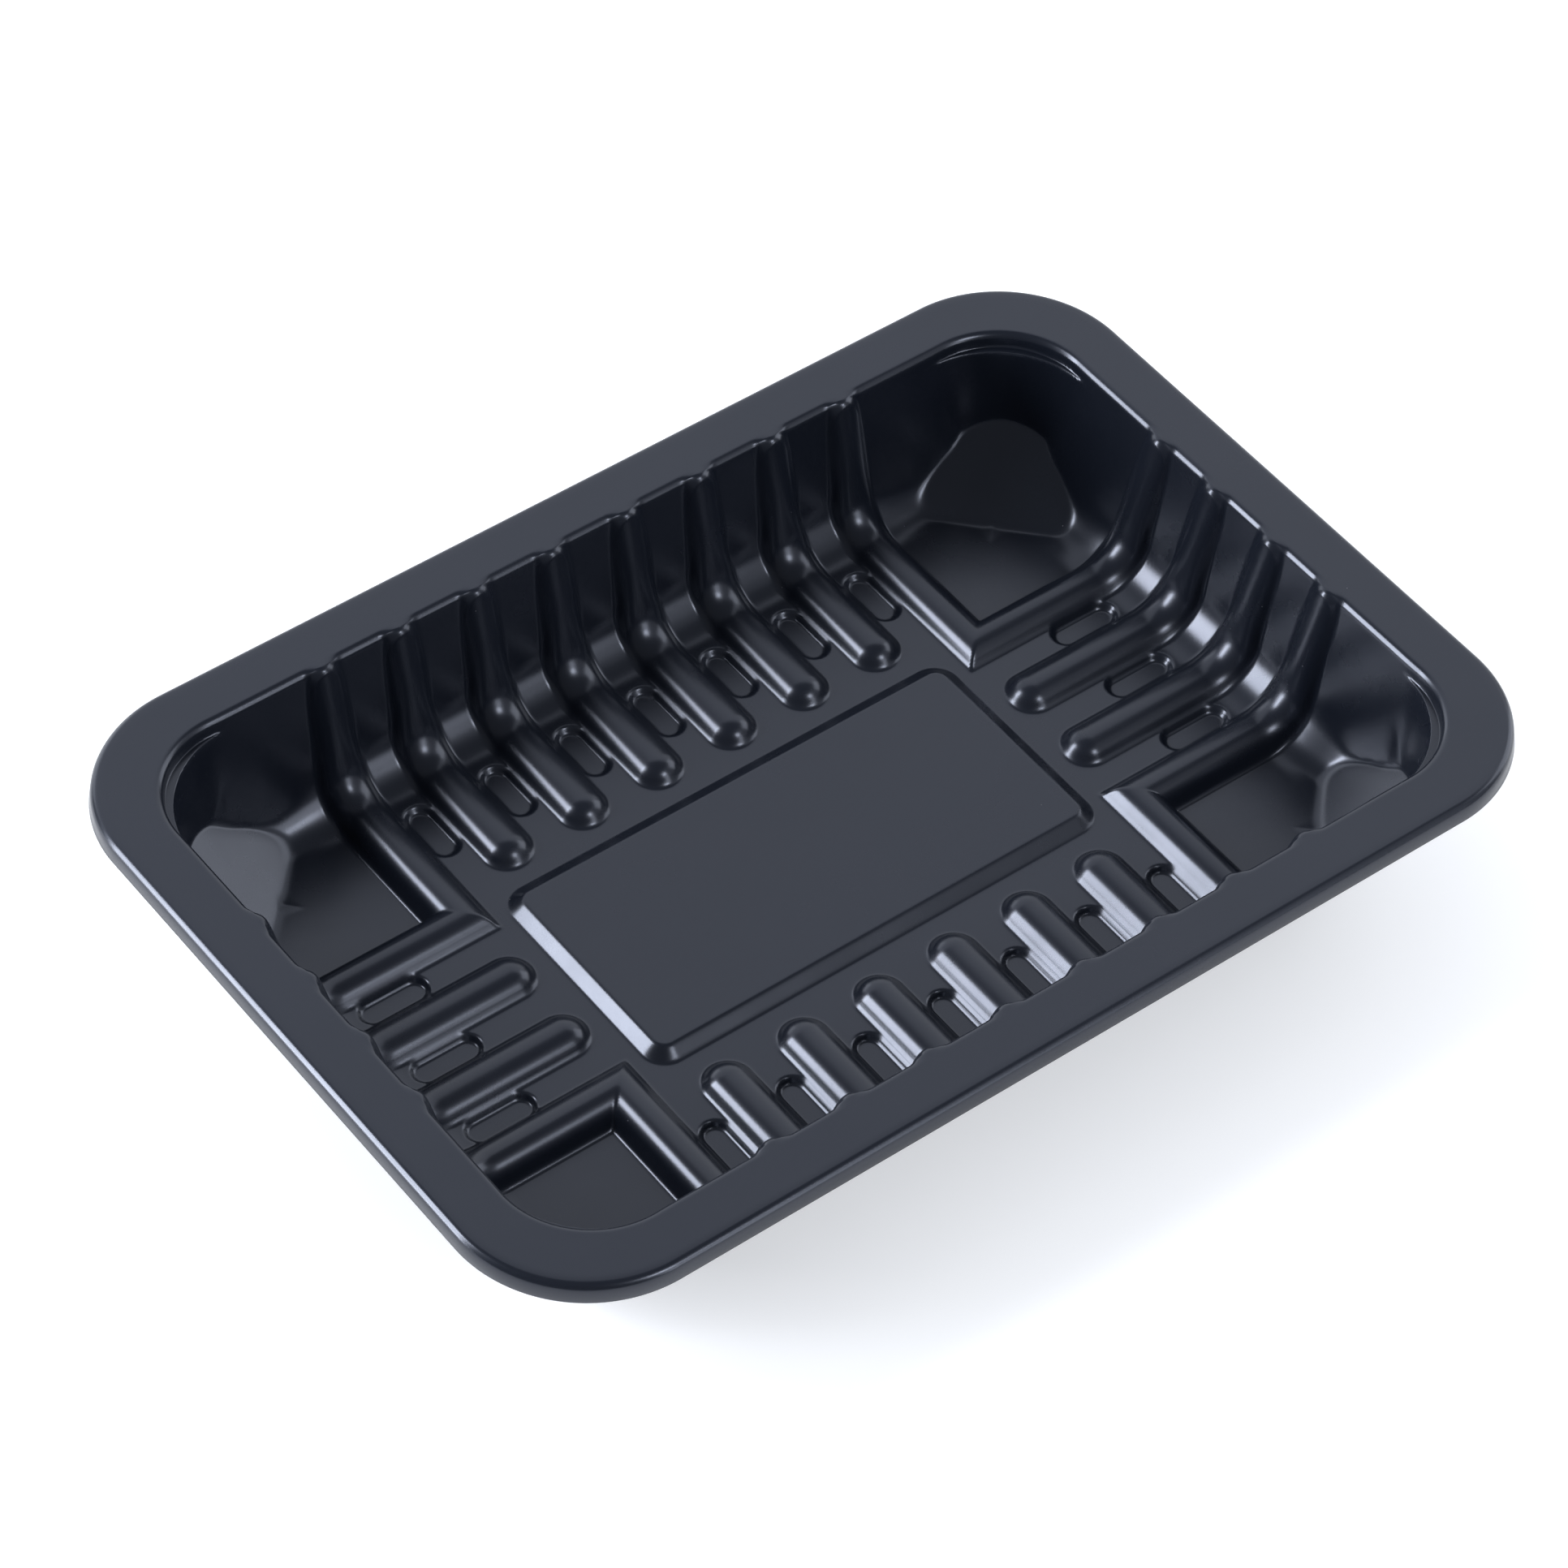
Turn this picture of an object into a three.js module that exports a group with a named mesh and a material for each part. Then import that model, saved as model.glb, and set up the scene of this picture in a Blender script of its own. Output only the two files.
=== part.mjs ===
// A rectangular food tray thermoformed from one sheet of plastic.
// Units are millimetres and +Z is up. The origin is the centre of the tray's footprint, on the
// plane that its four corner feet rest on. +X runs along the long side.
//
// The whole tray is one sheet, so it is described once, by how deep its upper face lies below the
// flange at a point (x, y). The tray is the same on both sides of its X and Y centre lines, so the
// depth is worked out for one quarter and mirrored. The underside is the same face moved by the
// thickness of the sheet along its normal.

import * as THREE from 'three';
import { mergeVertices } from 'three/addons/utils/BufferGeometryUtils.js';

const { clamp, degToRad, lerp, smoothstep } = THREE.MathUtils;

// Sheet and outline
const SHEET = 0.6;
const LENGTH = 210;
const WIDTH = 146.6;
const OUTER_RADIUS = 25;
const FLANGE_WIDTH = 11;
const RIM_RADIUS = 17;
const RIM_FILLET = 1.5;
const SKIRT_HEIGHT = 3.6;
const SKIRT_FLARE = 0.3;
const SKIRT_FILLET = 1.4;

// Depths of the upper face below the flange. The four corner compartments are the lowest.
const FLOOR_DEPTH = 28;
const FOOT_DEPTH = 29.8;

// Walls: how far they lean, and the fillet that joins them to the floor. Towards the corners both
// change over to one section, and the middle of each corner is the steepest.
const LONG_WALL = { draft: degToRad(9.5), fillet: 9.4 };
const SHORT_WALL = { draft: degToRad(11.5), fillet: 10 };
const CORNER_WALL = { draft: degToRad(10.5), fillet: 7 };
const DIAGONAL_WALL = { draft: degToRad(5), fillet: 6 };

// A narrow shoulder under the rim, only in the four corners, where the wall is rounder than the rim
const SHOULDER_DEPTH = 2.8;
const SHOULDER_ROUNDING = 0.8;
const CORNER_WALL_RADIUS = 20.8;
const CORNER_BLEND = { start: 4, end: 15 };

// Ribs that run down the walls and in across the floor, lower and narrower towards the rim. Each has
// a rounded top, which is part of an ellipse, then straight flanks with a rounded foot. Its end on
// the floor is round, about a centre that lies RIB_BASE_HALF beyond the end.
const RIBS_ON_LONG_SIDE = 6;
const RIBS_ON_SHORT_SIDE = 2;
const LONG_SIDE_PITCH = 15.65;
const SHORT_SIDE_PITCH = 15.2;
const RIB_HEIGHT = 2.9;
const RIB_HEIGHT_AT_RIM = 1.2;
const RIB_CREST = { halfWidth: 4.3, rise: 3.44 };
const RIB_FLANK_START = 3.8;
const RIB_FOOT_ROUNDING = 1;
const RIB_BASE_HALF = 4.4;
const RIB_SCALE_AT_RIM = 0.78;
const LONG_SIDE_RIB_END = 26.9;
const SHORT_SIDE_RIB_END = 51;

// The angled rib that closes off each corner compartment
const CORNER_RIB_X = 54.6;
const CORNER_RIB_Y = 22.3;

// Ovals pressed into the floor between the ribs
const OVAL_DEPTH = 1.2;
const OVAL_HALF = 2.7;
const OVAL_FLANK_RUN = 0.7;
const OVAL_ROUNDING = 0.4;
const LONG_SIDE_OVAL = { start: 35.6, end: 48.2 };
const SHORT_SIDE_OVAL = { start: 66.5, end: 80 };

// The raised panel in the middle of the floor, with a bevel whose top and foot are rounded
const PANEL = { halfX: 47.4, halfY: 23, radius: 5, bevelMiddle: 1.5, bevelRun: 2.5, rise: 1.9 };
const PANEL_ROUNDING = 0.12;

// The flat face that slants up across the corner of each compartment. Its edges are rounded more
// on the wall, above a depth, than on the floor.
const FACET_ANGLE = degToRad(44);
const FACET_START = 85.7;
const FACET_SLOPE = 0.78;
const FACET_FLOOR_ROUNDING = 0.9;
const FACET_WALL_ROUNDING = 1.6;
const FACET_TOP_DEPTH = 10;
const FACET_WALL_DEPTH = 22;

// A flat stretch inside the face of each foot, which rests on the table
const FOOT_FACE = { startX: 61, endX: 77, startY: 29, endY: 41 };

// Fineness of the faceted sheet
const POINTS_PER_QUARTER = 708;
const MOST_POINTS = 10000;
const SAMPLE_STEP = 0.4;
const CORNER_SEGMENTS = 10;
const STRAIGHT_SEGMENTS = 2;
const ROUND_END_SEGMENTS = 4;
const SKIRT_FILLET_SEGMENTS = 3;
const FILLET_STEP = degToRad(28);
const CREASE_SPACING = 0.3;
const ADDED_SPACING = 1;

// How far from a rib's middle line its creases lie, where its flanks start and end
const RIB_SHOULDER_HALF = 2.7;
const RIB_FOOT_HALF = 4.75;

// How far to each side the slope of the upper face is taken for its normal, and how far a face may
// lean away from that normal before the underside is moved back no further
const NORMAL_REACH = 0.45;
const LEAST_FACING = 0.85;
const LEAST_AREA = 0.05;
const ON_EDGE = 1e-4;
const SHAPE_SHARE = 3e-3;

// Values that follow from the ones above
const RIM_X = LENGTH / 2 - FLANGE_WIDTH;
const RIM_Y = WIDTH / 2 - FLANGE_WIDTH;
const FLANGE_LEVEL = FOOT_DEPTH + SHEET;

// Lower of two values, with the corner between them rounded over a width
function softMin(a, b, width) {
  const overlap = Math.max(width - Math.abs(a - b), 0);
  return Math.min(a, b) - overlap * overlap / (4 * width);
}

// Higher of two values, rounded in the same way
function softMax(a, b, width) {
  return -softMin(-a, -b, width);
}

// 0 below 0 and 1 above 1, with both corners rounded
function softRamp(value, rounding) {
  return softMin(softMax(value, 0, rounding), 1, rounding);
}

// How far a point lies inside a rounded rectangle, measured square to its edge
function insetIn(x, y, halfX, halfY, radius) {
  const fromX = halfX - x;
  const fromY = halfY - y;
  if (fromX < radius && fromY < radius) return radius - Math.hypot(radius - fromX, radius - fromY);
  return Math.min(fromX, fromY);
}

// A section of straight runs joined by arcs. It gives the depth at an inset, and stations: the
// insets where an arc starts or ends, with a few along it.
function filletedSection(corners, radii) {
  const stations = [];
  const arcs = radii.map((radius, index) => {
    const corner = corners[index + 1];
    const before = corner.clone().sub(corners[index]).normalize();
    const after = corners[index + 2].clone().sub(corner).normalize();
    const turn = before.angleTo(after);
    const reach = radius * Math.tan(turn / 2);
    const side = Math.sign(before.cross(after));
    const start = corner.clone().addScaledVector(before, -reach);
    const end = corner.clone().addScaledVector(after, reach);
    const centre = new THREE.Vector2(-before.y, before.x).multiplyScalar(side * radius).add(start);
    const steps = Math.ceil(turn / FILLET_STEP);
    for (let step = 0; step <= steps; step += 1) {
      stations.push(start.clone().rotateAround(centre, side * turn * step / steps).x);
    }
    return { start, end, centre, side, radius };
  });
  const last = corners[corners.length - 1];
  const depthAt = (inset) => {
    let from = corners[0];
    for (const { start, end, centre, side, radius } of arcs) {
      if (inset <= start.x) return depthOnLine(from, start, inset);
      if (inset < end.x) return centre.y - side * Math.sqrt(radius ** 2 - (inset - centre.x) ** 2);
      from = end;
    }
    return depthOnLine(from, last, inset);
  };
  return { depthAt, stations };
}

function depthOnLine(from, to, inset) {
  return lerp(from.y, to.y, (inset - from.x) / (to.x - from.x));
}

// The section from the flange to a floor. The crest of a rib has the same section moved inward by
// the rib's height, which grows from the rim to the floor.
function wallSection(wall, floorDepth, heightAtRim, height) {
  const depth = floorDepth - height;
  const footInset = depth * Math.tan(wall.draft) + height / Math.cos(wall.draft);
  const corners = [
    new THREE.Vector2(heightAtRim - FLANGE_WIDTH, 0),
    new THREE.Vector2(heightAtRim, 0),
    new THREE.Vector2(footInset, depth),
    new THREE.Vector2(LENGTH, depth),
  ];
  return filletedSection(corners, [RIM_FILLET, wall.fillet - height]);
}

function sectionsFor(floorDepth, heightAtRim, height) {
  return {
    long: wallSection(LONG_WALL, floorDepth, heightAtRim, height),
    short: wallSection(SHORT_WALL, floorDepth, heightAtRim, height),
  };
}

const MAIN = sectionsFor(FLOOR_DEPTH, 0, 0);
const COMPARTMENT = sectionsFor(FOOT_DEPTH, 0, 0);
const CREST = sectionsFor(FLOOR_DEPTH, RIB_HEIGHT_AT_RIM, RIB_HEIGHT);
const CORNER = wallSection(CORNER_WALL, FOOT_DEPTH, 0, 0);
const DIAGONAL = wallSection(DIAGONAL_WALL, FOOT_DEPTH, 0, 0);

// Depth inside straight walls
function depthFrom(sections, x, y) {
  const [fromX, fromY] = [RIM_X - x, RIM_Y - y];
  return fromY < fromX ? sections.long.depthAt(fromY) : sections.short.depthAt(fromX);
}

// Depth inside the rounded corner of the walls, with its shoulder under the rim
function cornerDepth(x, y) {
  const rimInset = insetIn(x, y, RIM_X, RIM_Y, RIM_RADIUS);
  const wallInset = insetIn(x, y, RIM_X, RIM_Y, CORNER_WALL_RADIUS);
  const shelf = rimInset - wallInset;
  if (shelf < ON_EDGE) return CORNER.depthAt(rimInset);
  const widestShelf = (CORNER_WALL_RADIUS - RIM_RADIUS) * (Math.SQRT2 - 1);
  const depthAt = (inset) => (
    lerp(CORNER.depthAt(inset), DIAGONAL.depthAt(inset), Math.min(shelf / widestShelf, 1))
  );
  const rounding = SHOULDER_ROUNDING * Math.min(shelf, 1);
  return softMin(depthAt(rimInset), softMax(SHOULDER_DEPTH, depthAt(wallInset), rounding), rounding);
}

// Spots along a side, a pitch apart and balanced about its middle, from the middle outward
function spotsAlong(count, pitch) {
  const spots = [];
  for (let spot = (count - 1) / 2 * pitch; spot > -pitch / 4; spot -= pitch) spots.push(Math.max(spot, 0));
  return spots;
}

// What stands along each kind of side: its ribs, and the ovals between and beside them
const SIDES = {
  long: {
    rim: RIM_Y,
    ribs: spotsAlong(RIBS_ON_LONG_SIDE, LONG_SIDE_PITCH),
    ribEnd: LONG_SIDE_RIB_END,
    ovals: spotsAlong(RIBS_ON_LONG_SIDE + 1, LONG_SIDE_PITCH),
    oval: LONG_SIDE_OVAL,
    cornerRib: CORNER_RIB_X,
  },
  short: {
    rim: RIM_X,
    ribs: spotsAlong(RIBS_ON_SHORT_SIDE, SHORT_SIDE_PITCH),
    ribEnd: SHORT_SIDE_RIB_END,
    ovals: spotsAlong(RIBS_ON_SHORT_SIDE + 1, SHORT_SIDE_PITCH),
    oval: SHORT_SIDE_OVAL,
    cornerRib: CORNER_RIB_Y,
  },
};

// 1 on the middle line of a rib and 0 beside it
function ribShare(distance) {
  const { halfWidth, rise } = RIB_CREST;
  const startShare = RIB_FLANK_START / halfWidth;
  const flankSlope = rise / halfWidth * startShare / Math.sqrt(1 - startShare ** 2);
  const share = Math.min(distance, RIB_FLANK_START) / halfWidth;
  const drop = rise * (1 - Math.sqrt(1 - share ** 2));
  const height = RIB_HEIGHT - drop - flankSlope * Math.max(distance - RIB_FLANK_START, 0);
  return softMax(height, 0, RIB_FOOT_ROUNDING) / RIB_HEIGHT;
}

// How wide a rib is beside its width on the floor
function ribScale(depth) {
  return lerp(RIB_SCALE_AT_RIM, 1, clamp(depth / FLOOR_DEPTH, 0, 1));
}

// Deepest share of the ovals on one side, and the distance to the middle line of its nearest rib,
// for a point across and along that side
function ovalShareOn(side, across, along) {
  const { start, end } = side.oval;
  const beyond = Math.max(start + OVAL_HALF - along, along - end + OVAL_HALF, 0);
  const shares = side.ovals.map((spot) => (OVAL_HALF - Math.hypot(across - spot, beyond)) / OVAL_FLANK_RUN);
  return softRamp(Math.max(...shares), OVAL_ROUNDING);
}

function ribDistance(side, across, along) {
  const beyond = Math.max(side.ribEnd + RIB_BASE_HALF - along, 0);
  return Math.min(...side.ribs.map((spot) => Math.hypot(across - spot, beyond)));
}

// Depth of the upper face below the flange, for a point with x and y of 0 or more
function depthInQuarter(x, y) {
  const intoCorner = Math.min(x - CORNER_RIB_X, y - CORNER_RIB_Y);
  const lowered = smoothstep(intoCorner, -1, 1);
  const rounded = smoothstep(intoCorner, CORNER_BLEND.start, CORNER_BLEND.end);
  let base = lerp(depthFrom(MAIN, x, y), depthFrom(COMPARTMENT, x, y), lowered);
  base = lerp(base, cornerDepth(x, y), rounded);
  if (intoCorner > 0) {
    const reach = x * Math.cos(FACET_ANGLE) + y * Math.sin(FACET_ANGLE) - FACET_START;
    const facetDepth = Math.max(FOOT_DEPTH - FACET_SLOPE * reach, FACET_TOP_DEPTH);
    const onFloor = smoothstep(base, FACET_WALL_DEPTH, FLOOR_DEPTH);
    base = softMin(base, facetDepth, lerp(FACET_WALL_ROUNDING, FACET_FLOOR_ROUNDING, onFloor));
  }
  const panelInset = insetIn(x, y, PANEL.halfX, PANEL.halfY, PANEL.radius);
  const bevelShare = (panelInset - PANEL.bevelMiddle) / PANEL.bevelRun + 0.5;
  base -= PANEL.rise * softRamp(bevelShare, PANEL_ROUNDING);
  base += OVAL_DEPTH * Math.max(ovalShareOn(SIDES.long, x, y), ovalShareOn(SIDES.short, y, x));

  const distance = Math.min(
    Math.abs(intoCorner),
    ribDistance(SIDES.long, x, y),
    ribDistance(SIDES.short, y, x),
  );
  const share = ribShare(distance / ribScale(base));
  return share > 0 ? lerp(base, depthFrom(CREST, x, y), share) : base;
}

function heightAt(x, y) {
  return FLANGE_LEVEL - depthInQuarter(Math.abs(x), Math.abs(y));
}

// Unit normal of the upper face, from the height a little to each side
function normalAt(x, y) {
  const slopeX = (heightAt(x + NORMAL_REACH, y) - heightAt(x - NORMAL_REACH, y)) / (2 * NORMAL_REACH);
  const slopeY = (heightAt(x, y + NORMAL_REACH) - heightAt(x, y - NORMAL_REACH)) / (2 * NORMAL_REACH);
  return new THREE.Vector3(-slopeX, -slopeY, 1).normalize();
}

// Heights on a square grid over one quarter, and how much longer the sheet is there than in plan
function sampleQuarter(halfX, halfY) {
  const columns = Math.floor(halfX / SAMPLE_STEP) + 1;
  const rows = Math.floor(halfY / SAMPLE_STEP) + 1;
  const heights = new Float64Array(columns * rows);
  const steepness = new Float64Array(columns * rows);
  for (let place = 0; place < heights.length; place += 1) {
    const column = place % columns;
    heights[place] = heightAt(column * SAMPLE_STEP, (place - column) / columns * SAMPLE_STEP);
  }
  for (let place = 0; place < heights.length; place += 1) {
    const next = place % columns + 1 < columns ? place + 1 : place;
    const above = place + columns < heights.length ? place + columns : place;
    const riseX = (heights[next] - heights[place]) / SAMPLE_STEP;
    const riseY = (heights[above] - heights[place]) / SAMPLE_STEP;
    steepness[place] = Math.hypot(1, riseX, riseY);
  }
  return { columns, rows, heights, steepness };
}

function squaredDistance(p, q) {
  return (p.x - q.x) ** 2 + (p.y - q.y) ** 2;
}

// Twice the area in plan of the triangle p, q, (x, y): above 0 where the point is left of the line
function twiceArea(p, q, x, y) {
  return (q.x - p.x) * (y - p.y) - (q.y - p.y) * (x - p.x);
}

// A triangulation of one quarter of the sheet, grown one point at a time. Its edges first keep the
// triangles well shaped, and then turn to lie along the creases of the sheet.
class QuarterMesh {
  constructor(outline) {
    this.samples = sampleQuarter(outline[0].x, outline[outline.length - 1].y);
    this.points = [];
    this.triangles = new Set();
    this.byEdge = new Map();
    this.followsCreases = false;
    [new THREE.Vector2(0, 0), ...outline].forEach(({ x, y }) => this.addPoint(x, y));
    for (let index = 1; index < outline.length; index += 1) this.addTriangle(0, index, index + 1);
  }

  addPoint(x, y) {
    return this.points.push(new THREE.Vector3(x, y, heightAt(x, y))) - 1;
  }

  addTriangle(a, b, c) {
    const item = { corners: [a, b, c], ...this.fit(a, b, c) };
    this.triangles.add(item);
    for (const [from, to] of [[a, b], [b, c], [c, a]]) this.byEdge.set(from * MOST_POINTS + to, item);
  }

  removeTriangle(item) {
    const [a, b, c] = item.corners;
    this.triangles.delete(item);
    for (const [from, to] of [[a, b], [b, c], [c, a]]) this.byEdge.delete(from * MOST_POINTS + to);
  }

  // What a triangle costs: its squared gaps to the samples in it, and a share for its shape, which
  // is high for a sliver. Also where its gap is widest.
  fit(a, b, c) {
    const [p, q, r] = [this.points[a], this.points[b], this.points[c]];
    const area = twiceArea(p, q, r.x, r.y);
    if (area < LEAST_AREA) return { cost: Infinity, gap: 0 };
    const sides = squaredDistance(p, q) + squaredDistance(q, r) + squaredDistance(r, p);
    const result = { cost: SHAPE_SHARE * sides / area, gap: 0 };
    if (!this.followsCreases) return result;
    const { columns, rows, heights, steepness } = this.samples;
    const firstRow = Math.ceil(Math.min(p.y, q.y, r.y) / SAMPLE_STEP);
    const lastRow = Math.min(Math.floor(Math.max(p.y, q.y, r.y) / SAMPLE_STEP), rows - 1);
    const firstColumn = Math.ceil(Math.min(p.x, q.x, r.x) / SAMPLE_STEP);
    const lastColumn = Math.min(Math.floor(Math.max(p.x, q.x, r.x) / SAMPLE_STEP), columns - 1);
    for (let row = firstRow; row <= lastRow; row += 1) {
      const y = row * SAMPLE_STEP;
      for (let column = firstColumn; column <= lastColumn; column += 1) {
        const x = column * SAMPLE_STEP;
        const shareQ = twiceArea(r, p, x, y) / area;
        const shareR = twiceArea(p, q, x, y) / area;
        if (shareQ < 0 || shareR < 0 || shareQ + shareR > 1) continue;
        const place = row * columns + column;
        const flat = p.z + shareQ * (q.z - p.z) + shareR * (r.z - p.z);
        const gap = Math.abs(heights[place] - flat) / steepness[place];
        result.cost += gap * gap * steepness[place] * SAMPLE_STEP ** 2;
        if (gap > result.gap) Object.assign(result, { gap, x, y });
      }
    }
    return result;
  }

  // What an edge costs: its squared gaps to the sheet along its length
  edgeCost(a, b) {
    if (!this.followsCreases) return 0;
    const { columns, rows, heights, steepness } = this.samples;
    const [from, to] = [this.points[a], this.points[b]];
    const length = Math.sqrt(squaredDistance(from, to));
    const steps = Math.max(Math.round(length / SAMPLE_STEP), 2);
    let cost = 0;
    for (let step = 1; step < steps; step += 1) {
      const { x, y, z } = from.clone().lerp(to, step / steps);
      const column = Math.min(Math.floor(x / SAMPLE_STEP), columns - 2);
      const row = Math.min(Math.floor(y / SAMPLE_STEP), rows - 2);
      const place = row * columns + column;
      const right = x / SAMPLE_STEP - column;
      const low = lerp(heights[place], heights[place + 1], right);
      const high = lerp(heights[place + columns], heights[place + columns + 1], right);
      const gap = lerp(low, high, y / SAMPLE_STEP - row) - z;
      cost += gap * gap / steepness[place] * length / steps;
    }
    return cost;
  }

  // Adds a point, unless another is already near it, and turns the edges round it
  insert(x, y, spacing) {
    if (this.points.some((point) => Math.hypot(point.x - x, point.y - y) < spacing)) return;
    let best = { least: -Infinity };
    for (const item of this.triangles) {
      const [p, q, r] = item.corners.map((corner) => this.points[corner]);
      const insets = [[p, q], [q, r], [r, p]].map(([from, to]) => (
        twiceArea(from, to, x, y) / Math.sqrt(squaredDistance(from, to))
      ));
      const least = Math.min(...insets);
      if (least > best.least) best = { least, item, side: insets.indexOf(least) };
    }
    if (best.least < -ON_EDGE) return;
    const index = this.addPoint(x, y);
    const edges = [];
    if (best.least > ON_EDGE) {
      this.split(best.item, index, edges);
    } else {
      const from = best.item.corners[best.side];
      const to = best.item.corners[(best.side + 1) % 3];
      const other = this.byEdge.get(to * MOST_POINTS + from);
      this.split(best.item, index, edges, from);
      if (other) this.split(other, index, edges, to);
    }
    this.settle(edges);
  }

  // Replaces a triangle by ones that meet at a point in it, or on its side that starts at a corner
  split(item, index, edges, sideStart) {
    this.removeTriangle(item);
    item.corners.forEach((from, corner) => {
      if (from === sideStart) return;
      const to = item.corners[(corner + 1) % 3];
      this.addTriangle(from, to, index);
      edges.push([from, to]);
    });
  }

  // Turns the edge between two triangles, again and again, while that lowers what they cost
  settle(edges) {
    const leastGain = 1e-9;
    while (edges.length) {
      const [a, b] = edges.pop();
      const left = this.byEdge.get(a * MOST_POINTS + b);
      const right = this.byEdge.get(b * MOST_POINTS + a);
      if (!left || !right) continue;
      const c = left.corners.find((corner) => corner !== a && corner !== b);
      const d = right.corners.find((corner) => corner !== a && corner !== b);
      const cost = left.cost + right.cost + this.edgeCost(a, b);
      const turned = this.fit(a, d, c).cost + this.fit(d, b, c).cost + this.edgeCost(c, d);
      if (!(turned < cost - leastGain)) continue;
      this.removeTriangle(left);
      this.removeTriangle(right);
      this.addTriangle(a, d, c);
      this.addTriangle(d, b, c);
      edges.push([a, d], [d, b], [b, c], [c, a]);
    }
  }

  // Turns all edges to lie along the creases
  followCreases() {
    this.followsCreases = true;
    for (const item of this.triangles) Object.assign(item, this.fit(...item.corners));
    this.settle([...this.byEdge.keys()].map((key) => [Math.floor(key / MOST_POINTS), key % MOST_POINTS]));
  }

  // Adds points where the triangles are furthest from the sheet
  refine(pointCount) {
    while (this.points.length < pointCount) {
      let worst = { gap: 0 };
      for (const item of this.triangles) if (item.gap > worst.gap) worst = item;
      if (worst.gap === 0) return;
      const before = this.points.length;
      this.insert(worst.x, worst.y, ADDED_SPACING);
      if (this.points.length === before) worst.gap = 0;
    }
  }
}

// Points on a quarter of a rounded rectangle, from the X axis to the Y axis
function quarterOutline(halfX, halfY, radius) {
  const points = [];
  for (let step = 0; step < STRAIGHT_SEGMENTS; step += 1) {
    points.push(new THREE.Vector2(halfX, (halfY - radius) * step / STRAIGHT_SEGMENTS));
  }
  points.push(...quarterArc(halfX, halfY, radius, 0, CORNER_SEGMENTS));
  for (let step = STRAIGHT_SEGMENTS - 1; step >= 0; step -= 1) {
    points.push(new THREE.Vector2((halfX - radius) * step / STRAIGHT_SEGMENTS, halfY));
  }
  return points;
}

// Points round the corner of a rounded rectangle, an inset inside its edge
function quarterArc(halfX, halfY, radius, inset, segments) {
  const points = [];
  for (let step = 0; step <= segments; step += 1) {
    const angle = Math.PI / 2 * step / segments;
    points.push(new THREE.Vector2(
      halfX - radius + (radius - inset) * Math.cos(angle),
      halfY - radius + (radius - inset) * Math.sin(angle),
    ));
  }
  return points;
}

// Points on the creases along one side, as places across and along it
function creasesOn(kind) {
  const side = SIDES[kind];
  const places = [];
  const line = (section, acrossAt) => {
    for (const inset of section.stations) places.push([acrossAt(inset), side.rim - inset]);
  };
  const roundEnd = (across, along, radius, direction) => {
    for (let step = 0; step <= ROUND_END_SEGMENTS; step += 1) {
      const angle = Math.PI * step / ROUND_END_SEGMENTS;
      places.push([across + radius * Math.cos(angle), along + direction * radius * Math.sin(angle)]);
    }
  };
  const rib = (across) => {
    line(CREST[kind], () => across);
    for (const sign of [-1, 1]) {
      line(CREST[kind], () => across + sign * RIB_SHOULDER_HALF);
      line(MAIN[kind], (inset) => across + sign * RIB_FOOT_HALF * ribScale(MAIN[kind].depthAt(inset)));
    }
  };
  for (const across of side.ribs) {
    rib(across);
    for (const radius of [0, RIB_SHOULDER_HALF, RIB_FOOT_HALF]) {
      roundEnd(across, side.ribEnd + RIB_BASE_HALF, radius, -1);
    }
  }
  for (const oval of side.ovals) {
    for (const radius of [OVAL_HALF, OVAL_HALF - OVAL_FLANK_RUN]) {
      roundEnd(oval, side.oval.start + OVAL_HALF, radius, -1);
      roundEnd(oval, side.oval.end - OVAL_HALF, radius, 1);
    }
  }
  line(MAIN[kind], () => 0);
  rib(side.cornerRib);
  return places;
}

// Points on the creases of one quarter, so that equal ribs and ovals get equal triangles
function creasePoints() {
  const points = [
    ...creasesOn('long').map(([across, along]) => new THREE.Vector2(across, along)),
    ...creasesOn('short').map(([across, along]) => new THREE.Vector2(along, across)),
  ];
  const cornerRib = new THREE.Vector2(CORNER_RIB_X, CORNER_RIB_Y);
  for (const offset of [-RIB_FOOT_HALF, -RIB_SHOULDER_HALF, 0, RIB_SHOULDER_HALF, RIB_FOOT_HALF]) {
    points.push(cornerRib.clone().addScalar(offset));
  }
  for (const x of [FOOT_FACE.startX, FOOT_FACE.endX]) {
    for (const y of [FOOT_FACE.startY, FOOT_FACE.endY]) points.push(new THREE.Vector2(x, y));
  }
  for (const side of [-1, 1]) {
    const inset = PANEL.bevelMiddle + side * PANEL.bevelRun / 2;
    points.push(...quarterArc(PANEL.halfX, PANEL.halfY, PANEL.radius, inset, 3));
    points.push(new THREE.Vector2(PANEL.halfX - inset, 0), new THREE.Vector2(0, PANEL.halfY - inset));
  }
  const shoulderInset = SHOULDER_DEPTH * Math.tan(DIAGONAL_WALL.draft);
  const footInset = FLOOR_DEPTH * Math.tan(DIAGONAL_WALL.draft);
  const rimInsets = DIAGONAL.stations.filter((inset) => inset < shoulderInset);
  for (const inset of [...rimInsets, shoulderInset]) {
    points.push(...quarterArc(RIM_X, RIM_Y, RIM_RADIUS, inset, CORNER_SEGMENTS));
  }
  for (const inset of [shoulderInset, footInset / 2]) {
    points.push(...quarterArc(RIM_X, RIM_Y, CORNER_WALL_RADIUS, inset, CORNER_SEGMENTS));
  }
  return points.filter(({ x, y }) => x > -ON_EDGE && y > -ON_EDGE);
}

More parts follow.
